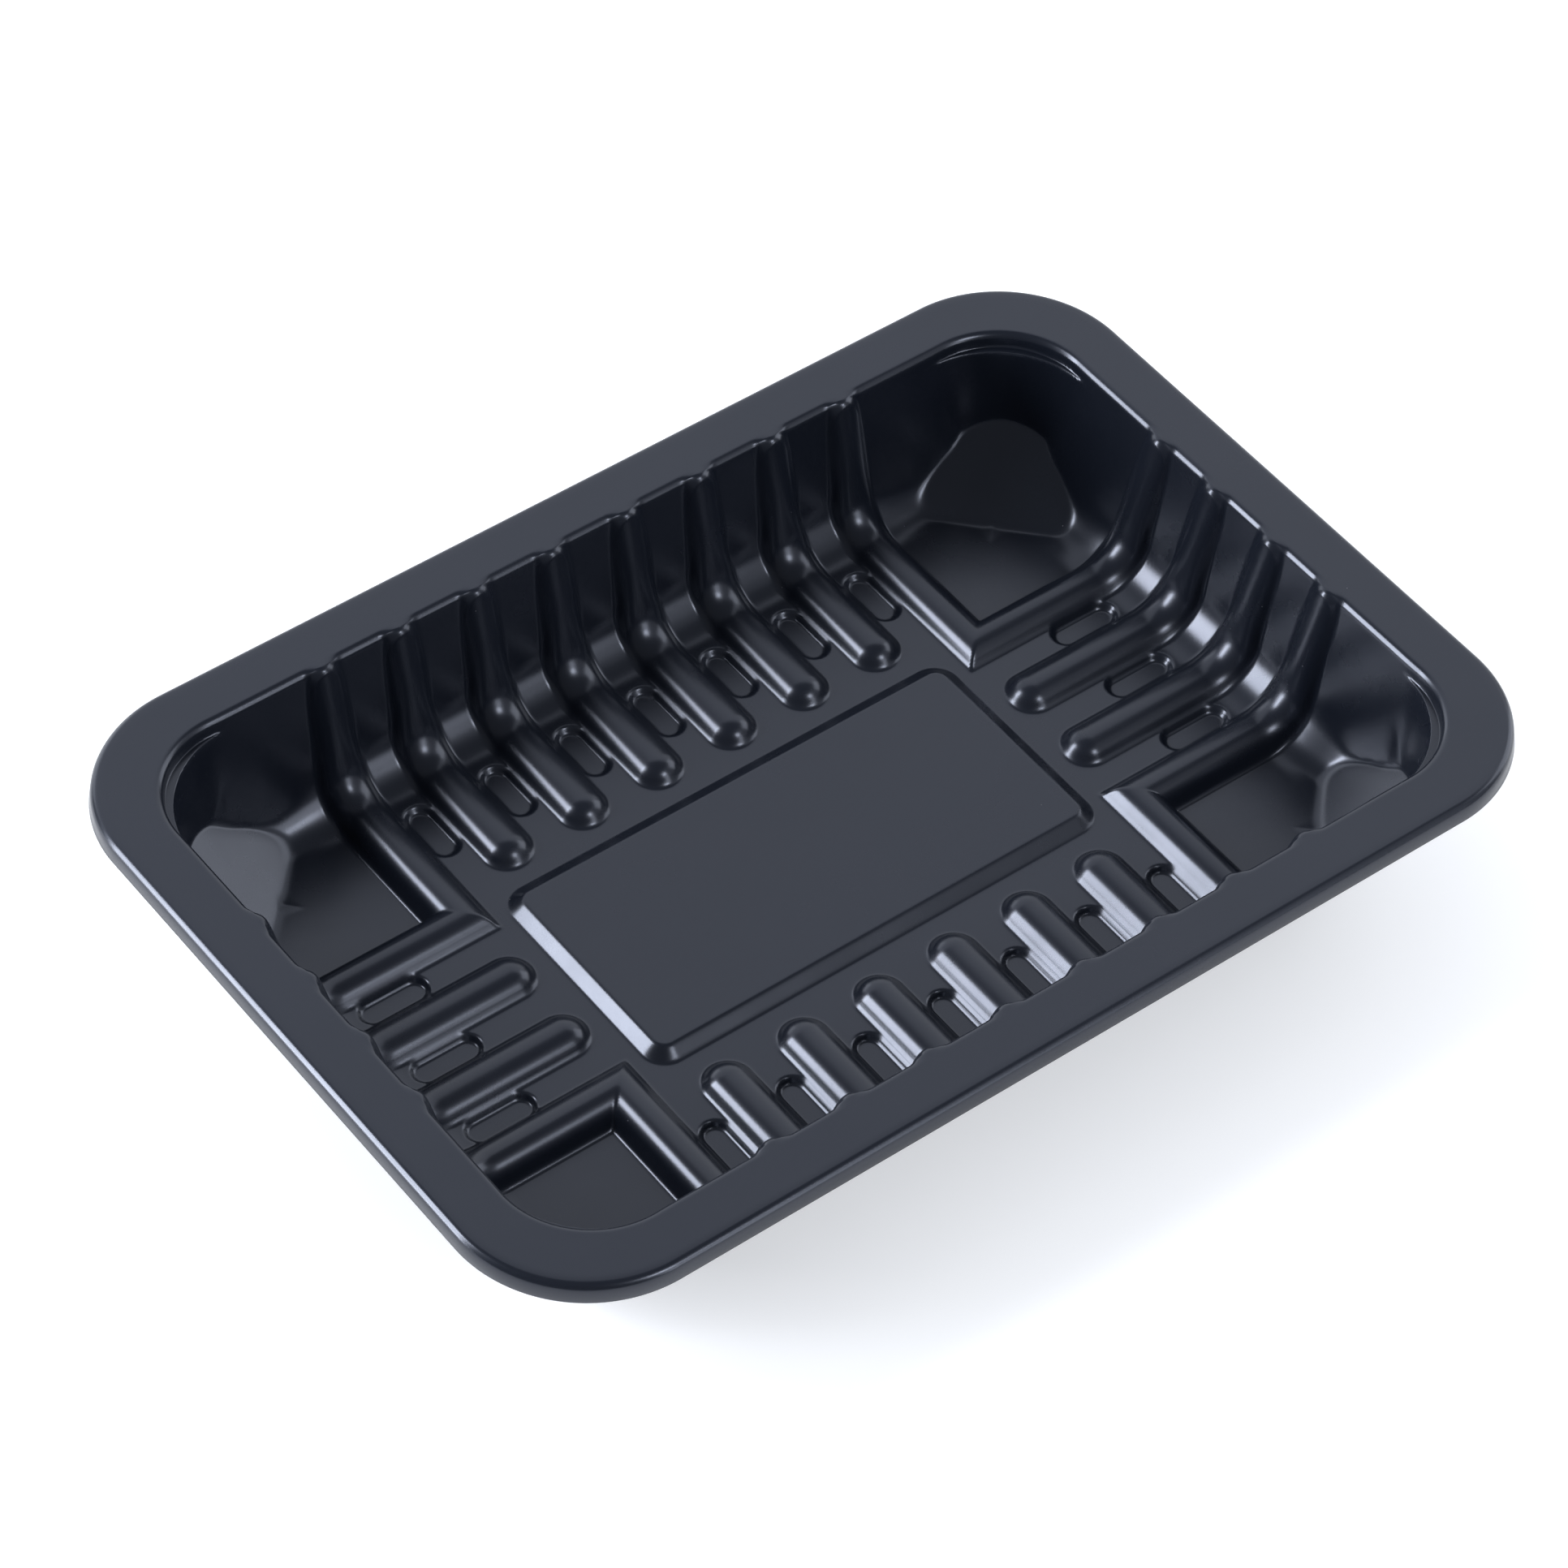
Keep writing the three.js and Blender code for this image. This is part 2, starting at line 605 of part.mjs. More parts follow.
// Triangulates one quarter of the sheet inside the flange's edge
function meshQuarter(outline) {
  const mesh = new QuarterMesh(outline);
  for (const { x, y } of creasePoints()) mesh.insert(x, y, CREASE_SPACING);
  mesh.followCreases();
  mesh.refine(POINTS_PER_QUARTER);
  return { points: mesh.points, faces: [...mesh.triangles].map((item) => item.corners) };
}

// The skirt's section as insets and levels, from the flat flange over its edge to the lip, and back
// up inside
function skirtSection() {
  const outer = [];
  const inner = [];
  const arcInset = SKIRT_FLARE + SKIRT_FILLET;
  const arcLevel = FLANGE_LEVEL - SKIRT_FILLET;
  const innerFillet = SKIRT_FILLET - SHEET;
  for (let step = 0; step <= SKIRT_FILLET_SEGMENTS; step += 1) {
    const angle = Math.PI / 2 * step / SKIRT_FILLET_SEGMENTS;
    const [across, up] = [Math.sin(angle), Math.cos(angle)];
    outer.push([arcInset - SKIRT_FILLET * across, arcLevel + SKIRT_FILLET * up]);
    inner.unshift([arcInset - innerFillet * across, arcLevel + innerFillet * up]);
  }
  const lipLevel = FLANGE_LEVEL - SKIRT_HEIGHT;
  return [...outer, [0, lipLevel], [SHEET, lipLevel], ...inner];
}

// Collects the triangles of the closed sheet, mirroring each into the four quarters
class SheetBuilder {
  constructor() {
    this.positions = [];
  }

  add(a, b, c) {
    for (const [signX, signY] of [[1, 1], [-1, 1], [-1, -1], [1, -1]]) {
      const order = signX * signY > 0 ? [a, b, c] : [a, c, b];
      for (const point of order) this.positions.push(point.x * signX, point.y * signY, point.z);
    }
  }

  geometry() {
    const mergeDistance = 1e-3;
    const loose = new THREE.BufferGeometry();
    loose.setAttribute('position', new THREE.Float32BufferAttribute(this.positions, 3));
    return mergeVertices(loose, mergeDistance);
  }
}

// Points of the underside, each moved back from the upper face so far that the faces round it are a
// sheet's thickness apart, also on a crease, and kept on the centre lines
function undersideOf(points, faces) {
  const normals = points.map(({ x, y }) => normalAt(x, y));
  const facing = points.map(() => 1);
  for (const [a, b, c] of faces) {
    const side = points[b].clone().sub(points[a]);
    const faceNormal = points[c].clone().sub(points[a]);
    faceNormal.crossVectors(side, faceNormal).normalize();
    for (const spot of [a, b, c]) facing[spot] = Math.min(facing[spot], normals[spot].dot(faceNormal));
  }
  return points.map((point, spot) => {
    const reach = SHEET / Math.max(facing[spot], LEAST_FACING);
    const moved = normals[spot].multiplyScalar(-reach).add(point);
    if (point.x === 0) moved.x = 0;
    if (point.y === 0) moved.y = 0;
    moved.z = Math.max(moved.z, 0);
    return moved;
  });
}

function traySheet() {
  const outlineAt = (inset) => quarterOutline(LENGTH / 2 - inset, WIDTH / 2 - inset, OUTER_RADIUS - inset);
  const builder = new SheetBuilder();
  const { points, faces } = meshQuarter(outlineAt(SKIRT_FLARE + SKIRT_FILLET));
  const under = undersideOf(points, faces);
  for (const [a, b, c] of faces) {
    builder.add(points[a], points[b], points[c]);
    builder.add(under[a], under[c], under[b]);
  }
  const rings = skirtSection().map(([inset, level]) => (
    outlineAt(inset).map(({ x, y }) => new THREE.Vector3(x, y, level))
  ));
  for (let ring = 1; ring < rings.length; ring += 1) {
    for (let spot = 1; spot < rings[ring].length; spot += 1) {
      const [a, b] = [rings[ring - 1][spot - 1], rings[ring - 1][spot]];
      const [c, d] = [rings[ring][spot - 1], rings[ring][spot]];
      builder.add(a, c, b);
      builder.add(b, c, d);
    }
  }
  return builder.geometry();
}

const glossyPlastic = new THREE.MeshStandardMaterial({ color: 0x14161b, roughness: 0.22, metalness: 0 });

const tray = new THREE.Mesh(traySheet(), glossyPlastic);
tray.name = 'tray';

const model = new THREE.Group();
model.add(tray);

export default model;
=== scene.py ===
import math

import bpy
import numpy as np
from mathutils import Matrix, Quaternion, Vector


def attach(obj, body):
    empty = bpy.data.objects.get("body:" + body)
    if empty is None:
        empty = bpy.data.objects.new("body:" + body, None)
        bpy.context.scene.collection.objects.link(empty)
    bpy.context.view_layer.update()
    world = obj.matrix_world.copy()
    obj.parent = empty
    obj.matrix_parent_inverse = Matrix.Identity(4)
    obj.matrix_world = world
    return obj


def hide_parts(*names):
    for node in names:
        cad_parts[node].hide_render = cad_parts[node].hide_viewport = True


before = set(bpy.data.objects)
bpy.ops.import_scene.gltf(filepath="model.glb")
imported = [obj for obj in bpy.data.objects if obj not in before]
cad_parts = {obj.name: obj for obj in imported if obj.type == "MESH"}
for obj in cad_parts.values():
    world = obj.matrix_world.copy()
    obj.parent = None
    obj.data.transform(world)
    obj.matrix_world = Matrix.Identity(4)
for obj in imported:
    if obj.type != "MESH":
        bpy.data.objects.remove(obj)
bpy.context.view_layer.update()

MM = 0.001

# The tray, in millimetres. The origin is the centre of its footprint, and +X runs along it.
SHEET = 0.6
LENGTH = 210.0
WIDTH = 146.6
OUTER_RADIUS = 25.0
FLANGE_WIDTH = 11.0
RIM_RADIUS = 17.0
RIM_FILLET = 1.5
SKIRT_HEIGHT = 3.6
SKIRT_FLARE = 0.3
SKIRT_FILLET = 1.4

# Depths of the upper face below the flange
FLOOR_DEPTH = 28.0
FOOT_DEPTH = 29.8

# Walls: how far they lean, and the fillet at their foot
LONG_WALL = (math.radians(9.5), 9.4)
SHORT_WALL = (math.radians(11.5), 10.0)
CORNER_WALL = (math.radians(10.5), 7.0)
DIAGONAL_WALL = (math.radians(5), 6.0)

# The narrow shoulder under the rim in the corners
SHOULDER_DEPTH = 2.8
SHOULDER_ROUNDING = 0.8
CORNER_WALL_RADIUS = 20.8
CORNER_BLEND = (4.0, 15.0)

# Ribs down the walls and in across the floor
LONG_SIDE_RIBS = 6
SHORT_SIDE_RIBS = 2
LONG_SIDE_PITCH = 15.65
SHORT_SIDE_PITCH = 15.2
RIB_HEIGHT = 2.9
RIB_HEIGHT_AT_RIM = 1.2
RIB_CREST_HALF = 4.3
RIB_CREST_RISE = 3.44
RIB_FLANK_START = 3.8
RIB_FOOT_ROUNDING = 1.0
RIB_BASE_HALF = 4.4
RIB_SCALE_AT_RIM = 0.78
LONG_SIDE_RIB_END = 26.9
SHORT_SIDE_RIB_END = 51.0

# The angled rib round each corner compartment
CORNER_RIB_X = 54.6
CORNER_RIB_Y = 22.3

# Ovals pressed into the floor between the ribs
OVAL_DEPTH = 1.2
OVAL_HALF = 2.7
OVAL_FLANK_RUN = 0.7
OVAL_ROUNDING = 0.4
LONG_SIDE_OVAL = (35.6, 48.2)
SHORT_SIDE_OVAL = (66.5, 80.0)

# The raised panel
PANEL_HALF_X = 47.4
PANEL_HALF_Y = 23.0
PANEL_RADIUS = 5.0
PANEL_BEVEL_MIDDLE = 1.5
PANEL_BEVEL_RUN = 2.5
PANEL_ROUNDING = 0.12
PANEL_RISE = 1.9

# The flat face across the corner of each compartment
FACET_ANGLE = math.radians(44)
FACET_START = 85.7
FACET_SLOPE = 0.78
FACET_FLOOR_ROUNDING = 0.9
FACET_WALL_ROUNDING = 1.6
FACET_TOP_DEPTH = 10.0
FACET_WALL_DEPTH = 22.0

# Steps of the mesh. Fine steps cover a band inside the rim and the fillet outside it.
FLANK_STEP = 0.35
WALL_STEP = 0.35
RIM_STEP = 0.1
RIM_BAND = 3.5
RIM_MARGIN = 0.6
FLANGE_STEP = 1.2
CORNER_STEPS = 72
FILLET_STEPS = 6
LIP_STEPS = 4
SLOPE_REACH = 0.2
JOIN_SCALE = 1e4

# Where the corner's mesh lines go back from the rim's shape to the flange's
RIM_LINES_END = (3.0, 2.0)

# Half the width over which the floor steps down into a compartment, under its angled rib
COMPARTMENT_STEP = 1.0

# How wide the shoulder is at least, where there is one
SHOULDER_START = 1e-4

RIM_X = LENGTH / 2 - FLANGE_WIDTH
RIM_Y = WIDTH / 2 - FLANGE_WIDTH
FLANGE_LEVEL = FOOT_DEPTH + SHEET
CENTRE_X = LENGTH / 2 - OUTER_RADIUS
CENTRE_Y = WIDTH / 2 - OUTER_RADIUS


def mix(a, b, share):
    return a + (b - a) * share


def smoothstep(value, start, end):
    share = np.clip((value - start) / (end - start), 0, 1)
    return share * share * (3 - 2 * share)


def soft_min(a, b, width):
    """Lower of two values, with the corner between them rounded over a width."""
    overlap = np.maximum(width - np.abs(a - b), 0)
    return np.minimum(a, b) - overlap * overlap / (4 * np.maximum(width, 1e-6))


def soft_max(a, b, width):
    return -soft_min(-a, -b, width)


def soft_ramp(value, rounding):
    """0 below 0 and 1 above 1, with both corners rounded."""
    return soft_min(soft_max(value, 0, rounding), 1, rounding)


def inset_in(x, y, half_x, half_y, radius):
    """How far a point lies inside a rounded rectangle."""
    from_x = half_x - x
    from_y = half_y - y
    round_inset = radius - np.hypot(radius - from_x, radius - from_y)
    in_corner = (from_x < radius) & (from_y < radius)
    return np.where(in_corner, round_inset, np.minimum(from_x, from_y))


class Section:
    """A section of straight runs joined by arcs, which gives the depth at an inset."""

    def __init__(self, corners, radii):
        self.corners = [np.array(corner, float) for corner in corners]
        self.arcs = [self.arc(place, radius) for place, radius in enumerate(radii)]

    def arc(self, place, radius):
        first, corner, last = self.corners[place:place + 3]
        before = (corner - first) / np.linalg.norm(corner - first)
        after = (last - corner) / np.linalg.norm(last - corner)
        turn = math.acos(float(before @ after))
        side = 1.0 if before[0] * after[1] > before[1] * after[0] else -1.0
        start = corner - before * radius * math.tan(turn / 2)
        end = corner + after * radius * math.tan(turn / 2)
        centre = start + np.array([-before[1], before[0]]) * side * radius
        return start, end, centre, side, radius

    def depth_at(self, inset):
        depth = np.zeros_like(inset)
        begin = self.corners[0]
        for start, end, centre, side, radius in self.arcs:
            on_line = (inset > begin[0]) & (inset <= start[0])
            depth = np.where(on_line, self.on_line(begin, start, inset), depth)
            on_arc = (inset > start[0]) & (inset < end[0])
            rise = np.sqrt(np.maximum(radius ** 2 - (inset - centre[0]) ** 2, 0))
            depth = np.where(on_arc, centre[1] - side * rise, depth)
            begin = end
        return np.where(inset >= begin[0], self.on_line(begin, self.corners[-1], inset), depth)

    @staticmethod
    def on_line(begin, end, inset):
        return mix(begin[1], end[1], (inset - begin[0]) / (end[0] - begin[0]))


def wall_section(wall, floor_depth, height_at_rim, height):
    draft, fillet = wall
    depth = floor_depth - height
    foot_inset = depth * math.tan(draft) + height / math.cos(draft)
    corners = [(height_at_rim - FLANGE_WIDTH, 0), (height_at_rim, 0), (foot_inset, depth), (LENGTH, depth)]
    return Section(corners, [RIM_FILLET, fillet - height])


def walls(floor_depth, height_at_rim, height):
    return [wall_section(wall, floor_depth, height_at_rim, height) for wall in (LONG_WALL, SHORT_WALL)]


MAIN = walls(FLOOR_DEPTH, 0, 0)
COMPARTMENT = walls(FOOT_DEPTH, 0, 0)
CREST = walls(FLOOR_DEPTH, RIB_HEIGHT_AT_RIM, RIB_HEIGHT)
CORNER = wall_section(CORNER_WALL, FOOT_DEPTH, 0, 0)
DIAGONAL = wall_section(DIAGONAL_WALL, FOOT_DEPTH, 0, 0)


def depth_from(sections, x, y):
    """Depth inside straight walls."""
    long_side, short_side = sections
    from_x = RIM_X - x
    from_y = RIM_Y - y
    return np.where(from_y < from_x, long_side.depth_at(from_y), short_side.depth_at(from_x))


def corner_depth(x, y):
    """Depth inside the rounded corner of the walls, with its shoulder under the rim."""
    rim_inset = inset_in(x, y, RIM_X, RIM_Y, RIM_RADIUS)
    wall_inset = inset_in(x, y, RIM_X, RIM_Y, CORNER_WALL_RADIUS)
    shelf = rim_inset - wall_inset
    widest = (CORNER_WALL_RADIUS - RIM_RADIUS) * (math.sqrt(2) - 1)
    share = np.clip(shelf / widest, 0, 1)
    at_rim = mix(CORNER.depth_at(rim_inset), DIAGONAL.depth_at(rim_inset), share)
    at_wall = mix(CORNER.depth_at(wall_inset), DIAGONAL.depth_at(wall_inset), share)
    rounding = SHOULDER_ROUNDING * np.clip(shelf, 0, 1)
    shouldered = soft_min(at_rim, soft_max(SHOULDER_DEPTH, at_wall, rounding), rounding)
    return np.where(shelf > SHOULDER_START, shouldered, at_rim)


def spots_along(count, pitch):
    return [abs(place - (count - 1) / 2) * pitch for place in range(count) if place * 2 >= count - 1]


SIDES = (
    dict(
        ribs=spots_along(LONG_SIDE_RIBS, LONG_SIDE_PITCH),
        rib_end=LONG_SIDE_RIB_END,
        ovals=spots_along(LONG_SIDE_RIBS + 1, LONG_SIDE_PITCH),
        oval=LONG_SIDE_OVAL,
    ),
    dict(
        ribs=spots_along(SHORT_SIDE_RIBS, SHORT_SIDE_PITCH),
        rib_end=SHORT_SIDE_RIB_END,
        ovals=spots_along(SHORT_SIDE_RIBS + 1, SHORT_SIDE_PITCH),
        oval=SHORT_SIDE_OVAL,
    ),
)


def crest_drop(distance):
    """How far a rib's rounded top has fallen at a distance from its middle line."""
    return RIB_CREST_RISE * (1 - np.sqrt(1 - (distance / RIB_CREST_HALF) ** 2))


def rib_share(distance):
    """1 on the middle line of a rib and 0 beside it: a rounded top, a straight flank and a fillet."""
    reach = RIB_FLANK_START / RIB_CREST_HALF
    slope = RIB_CREST_RISE / RIB_CREST_HALF * reach / math.sqrt(1 - reach ** 2)
    on_top = crest_drop(np.clip(distance, 0, RIB_FLANK_START))
    height = RIB_HEIGHT - on_top - slope * np.maximum(distance - RIB_FLANK_START, 0)
    return soft_max(height, 0, RIB_FOOT_ROUNDING) / RIB_HEIGHT


def rib_scale(depth):
    """How wide a rib is beside its width on the floor."""
    return mix(RIB_SCALE_AT_RIM, 1, np.clip(depth / FLOOR_DEPTH, 0, 1))


def oval_share_on(side, across, along):
    start, end = side["oval"]
    beyond = np.maximum(np.maximum(start + OVAL_HALF - along, along - end + OVAL_HALF), 0)
    gaps = [np.hypot(across - spot, beyond) for spot in side["ovals"]]
    return soft_ramp((OVAL_HALF - np.minimum.reduce(gaps)) / OVAL_FLANK_RUN, OVAL_ROUNDING)


def rib_distance(side, across, along):
    beyond = np.maximum(side["rib_end"] + RIB_BASE_HALF - along, 0)
    return np.minimum.reduce([np.hypot(across - spot, beyond) for spot in side["ribs"]])


def depth_in_quarter(x, y):
    """Depth of the upper face below the flange, for x and y of 0 or more."""
    into_corner = np.minimum(x - CORNER_RIB_X, y - CORNER_RIB_Y)
    inside = into_corner > 0
    lowered = smoothstep(into_corner, -COMPARTMENT_STEP, COMPARTMENT_STEP)
    rounded = smoothstep(into_corner, *CORNER_BLEND)
    base = mix(depth_from(MAIN, x, y), depth_from(COMPARTMENT, x, y), lowered)
    base = mix(base, corner_depth(x, y), rounded)

    reach = x * math.cos(FACET_ANGLE) + y * math.sin(FACET_ANGLE) - FACET_START
    facet = np.maximum(FOOT_DEPTH - FACET_SLOPE * reach, FACET_TOP_DEPTH)
    on_floor = smoothstep(base, FACET_WALL_DEPTH, FLOOR_DEPTH)
    rounding = mix(FACET_WALL_ROUNDING, FACET_FLOOR_ROUNDING, on_floor)
    base = np.where(inside, soft_min(base, facet, rounding), base)

    panel_inset = inset_in(x, y, PANEL_HALF_X, PANEL_HALF_Y, PANEL_RADIUS)
    ramp = (panel_inset - PANEL_BEVEL_MIDDLE) / PANEL_BEVEL_RUN + 0.5
    base = base - PANEL_RISE * soft_ramp(ramp, PANEL_ROUNDING)
    ovals = np.maximum(oval_share_on(SIDES[0], x, y), oval_share_on(SIDES[1], y, x))
    base = base + OVAL_DEPTH * ovals

    distance = np.minimum(rib_distance(SIDES[0], x, y), rib_distance(SIDES[1], y, x))
    distance = np.minimum(distance, np.abs(into_corner)) / rib_scale(base)
    return mix(base, depth_from(CREST, x, y), rib_share(distance))


def height_at(x, y):
    return FLANGE_LEVEL - depth_in_quarter(np.abs(x), np.abs(y))


def underside_of(x, y, z):
    """The upper face's points moved by the thickness of the sheet along its normal."""
    reach = SLOPE_REACH
    slope_x = (height_at(x + reach, y) - height_at(x - reach, y)) / (2 * reach)
    slope_y = (height_at(x, y + reach) - height_at(x, y - reach)) / (2 * reach)
    scale = SHEET / np.sqrt(1 + slope_x ** 2 + slope_y ** 2)
    under_x = np.where(x == 0, 0, x + slope_x * scale)
    under_y = np.where(y == 0, 0, y + slope_y * scale)
    return under_x, under_y, z - scale


def stations(stops):
    """Places from the first stop on, each further run with its own largest step."""
    places = [stops[0][0]]
    for end, step in stops[1:]:
        count = max(math.ceil((end - places[-1]) / step), 1)
        start = places[-1]
        places.extend(start + (end - start) * (place + 1) / count for place in range(count))
    return np.array(places)


def skirt_rings():
    """Insets and levels from the flat flange over its edge, round the lip and back up inside."""
    outer = []
    inner = []
    arc_inset = SKIRT_FLARE + SKIRT_FILLET
    arc_level = FLANGE_LEVEL - SKIRT_FILLET
    for step in range(FILLET_STEPS + 1):
        angle = math.pi / 2 * step / FILLET_STEPS
        across, up = math.sin(angle), math.cos(angle)
        outer.append((arc_inset - SKIRT_FILLET * across, arc_level + SKIRT_FILLET * up))
        inside = SKIRT_FILLET - SHEET
        inner.insert(0, (arc_inset - inside * across, arc_level + inside * up))
    lip_radius = SHEET / 2
    lip_level = FLANGE_LEVEL - SKIRT_HEIGHT + lip_radius
    lip = []
    for step in range(LIP_STEPS + 1):
        angle = math.pi * step / LIP_STEPS
        lip.append((lip_radius - lip_radius * math.cos(angle), lip_level - lip_radius * math.sin(angle)))
    return outer[1:] + lip + inner[:-1]


def quads(rows, columns):
    """Corner numbers of the faces of a grid of points."""
    first = (np.arange(rows - 1)[:, None] * columns + np.arange(columns - 1)[None, :]).ravel()
    return np.stack([first, first + 1, first + columns + 1, first + columns], axis=1)


def round_the_corner(out, angles):
    """Places round the corner's centre, drawn in so that the ones at the rim follow it."""
    offset = CENTRE_X - RIM_X + RIM_RADIUS
    rim = OUTER_RADIUS - FLANGE_WIDTH

    def rim_radius(angle):
        along = offset * (np.cos(angle) + np.sin(angle))
        return np.sqrt(along ** 2 - 2 * offset ** 2 + RIM_RADIUS ** 2) - along

    drawn_in = rim_radius(0.0) - rim_radius(angles)
    start, end = RIM_LINES_END
    inside = smoothstep(out, 0, rim - RIM_BAND)
    share = np.minimum(inside, 1 - smoothstep(out, rim + start, OUTER_RADIUS - end))
    radius = out - drawn_in * share
    return CENTRE_X + radius * np.cos(angles), CENTRE_Y + radius * np.sin(angles)


def tray_mesh():
    flat_edge = OUTER_RADIUS - SKIRT_FLARE - SKIRT_FILLET
    rim = OUTER_RADIUS - FLANGE_WIDTH
    rim_edge = rim + RIM_FILLET + RIM_MARGIN
    out = stations([(0, 0), (rim - RIM_BAND, WALL_STEP), (rim_edge, RIM_STEP), (flat_edge, FLANGE_STEP)])
    along_x = stations([(0, 0), (CENTRE_X, FLANK_STEP)])
    along_y = stations([(0, 0), (CENTRE_Y, FLANK_STEP)])
    rings = skirt_rings()
    angles = np.linspace(0, math.pi / 2, CORNER_STEPS + 1)

    points = []
    faces = []
    total = 0

    def add(grid, flip):
        nonlocal total
        rows, columns = grid.shape[:2]
        corners = quads(rows, columns) + total
        faces.append(corners[:, ::-1] if flip else corners)
        points.append(grid.reshape(-1, 3))
        total += rows * columns

    def add_strip(plan, outward):
        """Adds a strip from its inner edge out over the flange, round the lip and back beneath."""
        x, y = plan(out[None, :])
        z = height_at(x, y)
        upper = np.stack([x, y, z], axis=2)
        lower = np.stack(underside_of(x, y, z), axis=2)[:, ::-1]
        around = []
        for inset, level in rings:
            ring_x, ring_y = plan(np.array([[OUTER_RADIUS - inset]]))
            around.append(np.stack([ring_x, ring_y, np.full_like(ring_x, level)], axis=2))
        add(np.concatenate([upper, *around, lower], axis=1), outward)

    x, y = np.meshgrid(along_x, along_y, indexing="ij")
    z = height_at(x, y)
    add(np.stack([x, y, z], axis=2), True)
    add(np.stack(underside_of(x, y, z), axis=2), False)
    add_strip(lambda r: (np.broadcast_to(along_x[:, None], (len(along_x), r.shape[1])),
                         CENTRE_Y + np.repeat(r, len(along_x), axis=0)), True)
    add_strip(lambda r: (CENTRE_X + np.repeat(r, len(along_y), axis=0),
                         np.broadcast_to(along_y[:, None], (len(along_y), r.shape[1]))), False)
    add_strip(lambda r: round_the_corner(r, angles[:, None]), False)
    return np.concatenate(points), np.concatenate(faces)


def whole_from_quarter(points, faces):
    """Mirrors a quarter into the four quarters and joins the points that meet."""
    all_points = []
    all_faces = []
    for place, (sign_x, sign_y) in enumerate([(1, 1), (-1, 1), (-1, -1), (1, -1)]):
        all_points.append(points * [sign_x, sign_y, 1])
        mirrored = faces[:, ::-1] if sign_x * sign_y < 0 else faces
        all_faces.append(mirrored + place * len(points))
    points = np.concatenate(all_points)
    faces = np.concatenate(all_faces)
    keys = np.round(points * JOIN_SCALE).astype(np.int64)
    _, first, joined = np.unique(keys, axis=0, return_index=True, return_inverse=True)
    return points[first], joined.reshape(-1)[faces]


def mesh_object(name, points, faces):
    polygons = []
    for corners in faces.tolist():
        kept = [corner for place, corner in enumerate(corners) if corner != corners[place - 1]]
        if len(kept) > 2:
            polygons.append(kept)
    mesh = bpy.data.meshes.new(name)
    mesh.from_pydata((points * MM).tolist(), [], polygons)
    mesh.update()
    mesh.shade_smooth()
    made = bpy.data.objects.new(name, mesh)
    bpy.context.scene.collection.objects.link(made)
    return made


class Nodes:
    """Short calls for building a material's nodes."""

    def __init__(self, name):
        self.material = bpy.data.materials.new(name)
        self.material.use_nodes = True
        self.tree = self.material.node_tree
        self.shader = self.tree.nodes["Principled BSDF"]
        self.place = self.tree.nodes.new("ShaderNodeTexCoord").outputs["Object"]

    def link(self, value, socket):
        if hasattr(value, "is_output"):
            self.tree.links.new(value, socket)
        else:
            socket.default_value = value

    def noise(self, size, detail=3.0, roughness=0.5):
        """Noise from about 0 to 1, with features of a size in metres."""
        node = self.tree.nodes.new("ShaderNodeTexNoise")
        node.inputs["Scale"].default_value = 1 / size
        node.inputs["Detail"].default_value = detail
        node.inputs["Roughness"].default_value = roughness
        self.link(self.place, node.inputs["Vector"])
        return node.outputs["Fac"]

    def specks(self, size, radius):
        """1 on small round specks, about one in each cell of a size in metres."""
        node = self.tree.nodes.new("ShaderNodeTexVoronoi")
        node.inputs["Scale"].default_value = 1 / size
        self.link(self.place, node.inputs["Vector"])
        return self.ramp(node.outputs["Distance"], radius, radius * 0.4, 0.0, 1.0)

    def ramp(self, value, low, high, at_low, at_high):
        node = self.tree.nodes.new("ShaderNodeMapRange")
        node.clamp = True
        settings = (("From Min", low), ("From Max", high), ("To Min", at_low), ("To Max", at_high))
        for name, setting in settings:
            node.inputs[name].default_value = setting
        self.link(value, node.inputs["Value"])
        return node.outputs["Result"]

    def math(self, operation, a, b):
        node = self.tree.nodes.new("ShaderNodeMath")
        node.operation = operation
        self.link(a, node.inputs[0])
        self.link(b, node.inputs[1])
        return node.outputs["Value"]

    def colour(self, share, first, second):
        node = self.tree.nodes.new("ShaderNodeMix")
        node.data_type = "RGBA"
        self.link(share, node.inputs[0])
        self.link((*first, 1) if isinstance(first, tuple) else first, node.inputs[6])
        self.link((*second, 1) if isinstance(second, tuple) else second, node.inputs[7])
        return node.outputs[2]

    def bump(self, height, strength, distance, before=None):
        node = self.tree.nodes.new("ShaderNodeBump")
        node.inputs["Strength"].default_value = strength
        node.inputs["Distance"].default_value = distance
        self.link(height, node.inputs["Height"])
        if before is not None:
            self.link(before, node.inputs["Normal"])
        return node.outputs["Normal"]

    def set(self, **sockets):
        for name, value in sockets.items():
            self.link(value, self.shader.inputs[name.replace("_", " ")])


# The plastic's marks: their sizes in metres, and the dust's radius as a share of its spacing
STREAK_SIZE = 0.03
MOTTLE_SIZE = 0.006
GRAIN_SIZE = 0.0005
DUST_SPACING = 0.007
DUST_RADIUS = 0.016
WAVE_SIZE = 0.025
WAVE_HEIGHT = 0.00016

# The plastic's colours
PLASTIC_DARK = (0.0040, 0.0055, 0.0090)
PLASTIC_LIGHT = (0.0065, 0.0080, 0.0130)
GRAIN_COLOUR = (0.022, 0.026, 0.036)
GRAIN_SHARE = 0.06
DUST_COLOUR = (0.12, 0.12, 0.13)
REFLECTION_TINT = (0.83, 0.87, 1.0)

# The plastic's roughness, from streak to streak, and what mottle and dust change in it
ROUGHNESS = (0.24, 0.28)
MOTTLE_ROUGHNESS = 0.01
DUST_ROUGHNESS = 0.4


